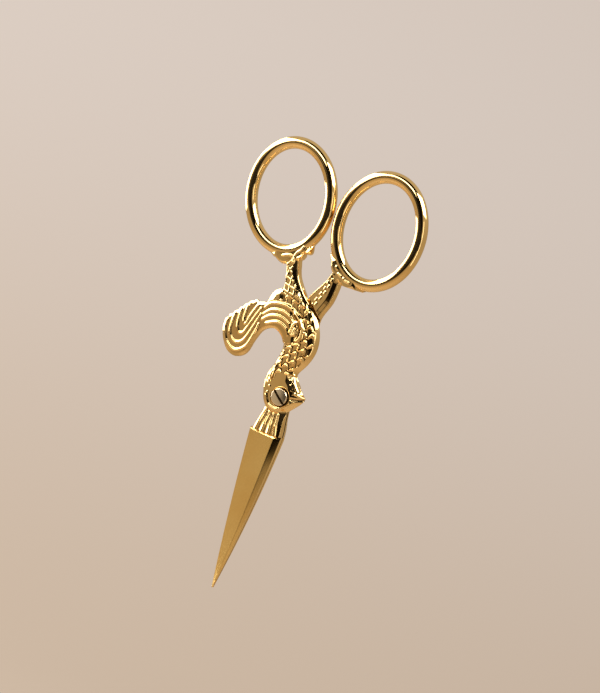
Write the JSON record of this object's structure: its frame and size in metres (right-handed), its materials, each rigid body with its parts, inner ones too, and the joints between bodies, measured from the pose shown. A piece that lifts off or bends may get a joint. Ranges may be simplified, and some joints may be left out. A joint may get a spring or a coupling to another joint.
{
  "type": "embroidery scissors",
  "caption": "Small gold-plated embroidery scissors: oval finger bows, bird-shaped handles with a curled tail, fluted collars, slim pointed blades and a slotted pivot screw.",
  "frame": {"origin": "top of the front bow's inner side, where the scissors hang", "axes": "+Z from the blade points up to the bows, +X to the right and +Y to the back when the slotted screw faces the viewer; the pivot axis is along Y"},
  "size_m": [0.0447, 0.0052, 0.1008],
  "materials": {
    "polished_gold": "mirror-polished gold plating on forged steel",
    "satin_gold": "satin gold plating on ground faces",
    "screw_metal": "polished pale metal with a cut slot"
  },
  "bodies": {
    "front_half": {"front_bow": "polished_gold", "front_handle": "polished_gold", "front_blade": "satin_gold"},
    "rear_half": {"rear_bow": "polished_gold", "rear_handle": "polished_gold", "rear_blade": "satin_gold", "pivot_screw": "screw_metal"}
  },
  "joints": [
    {"name": "pivot", "type": "hinge", "parent": "front_half", "child": "rear_half", "pos_m": [0.01555, 0, -0.05228], "axis": [0, 1, 0], "range_deg": [0, 60]}
  ]
}
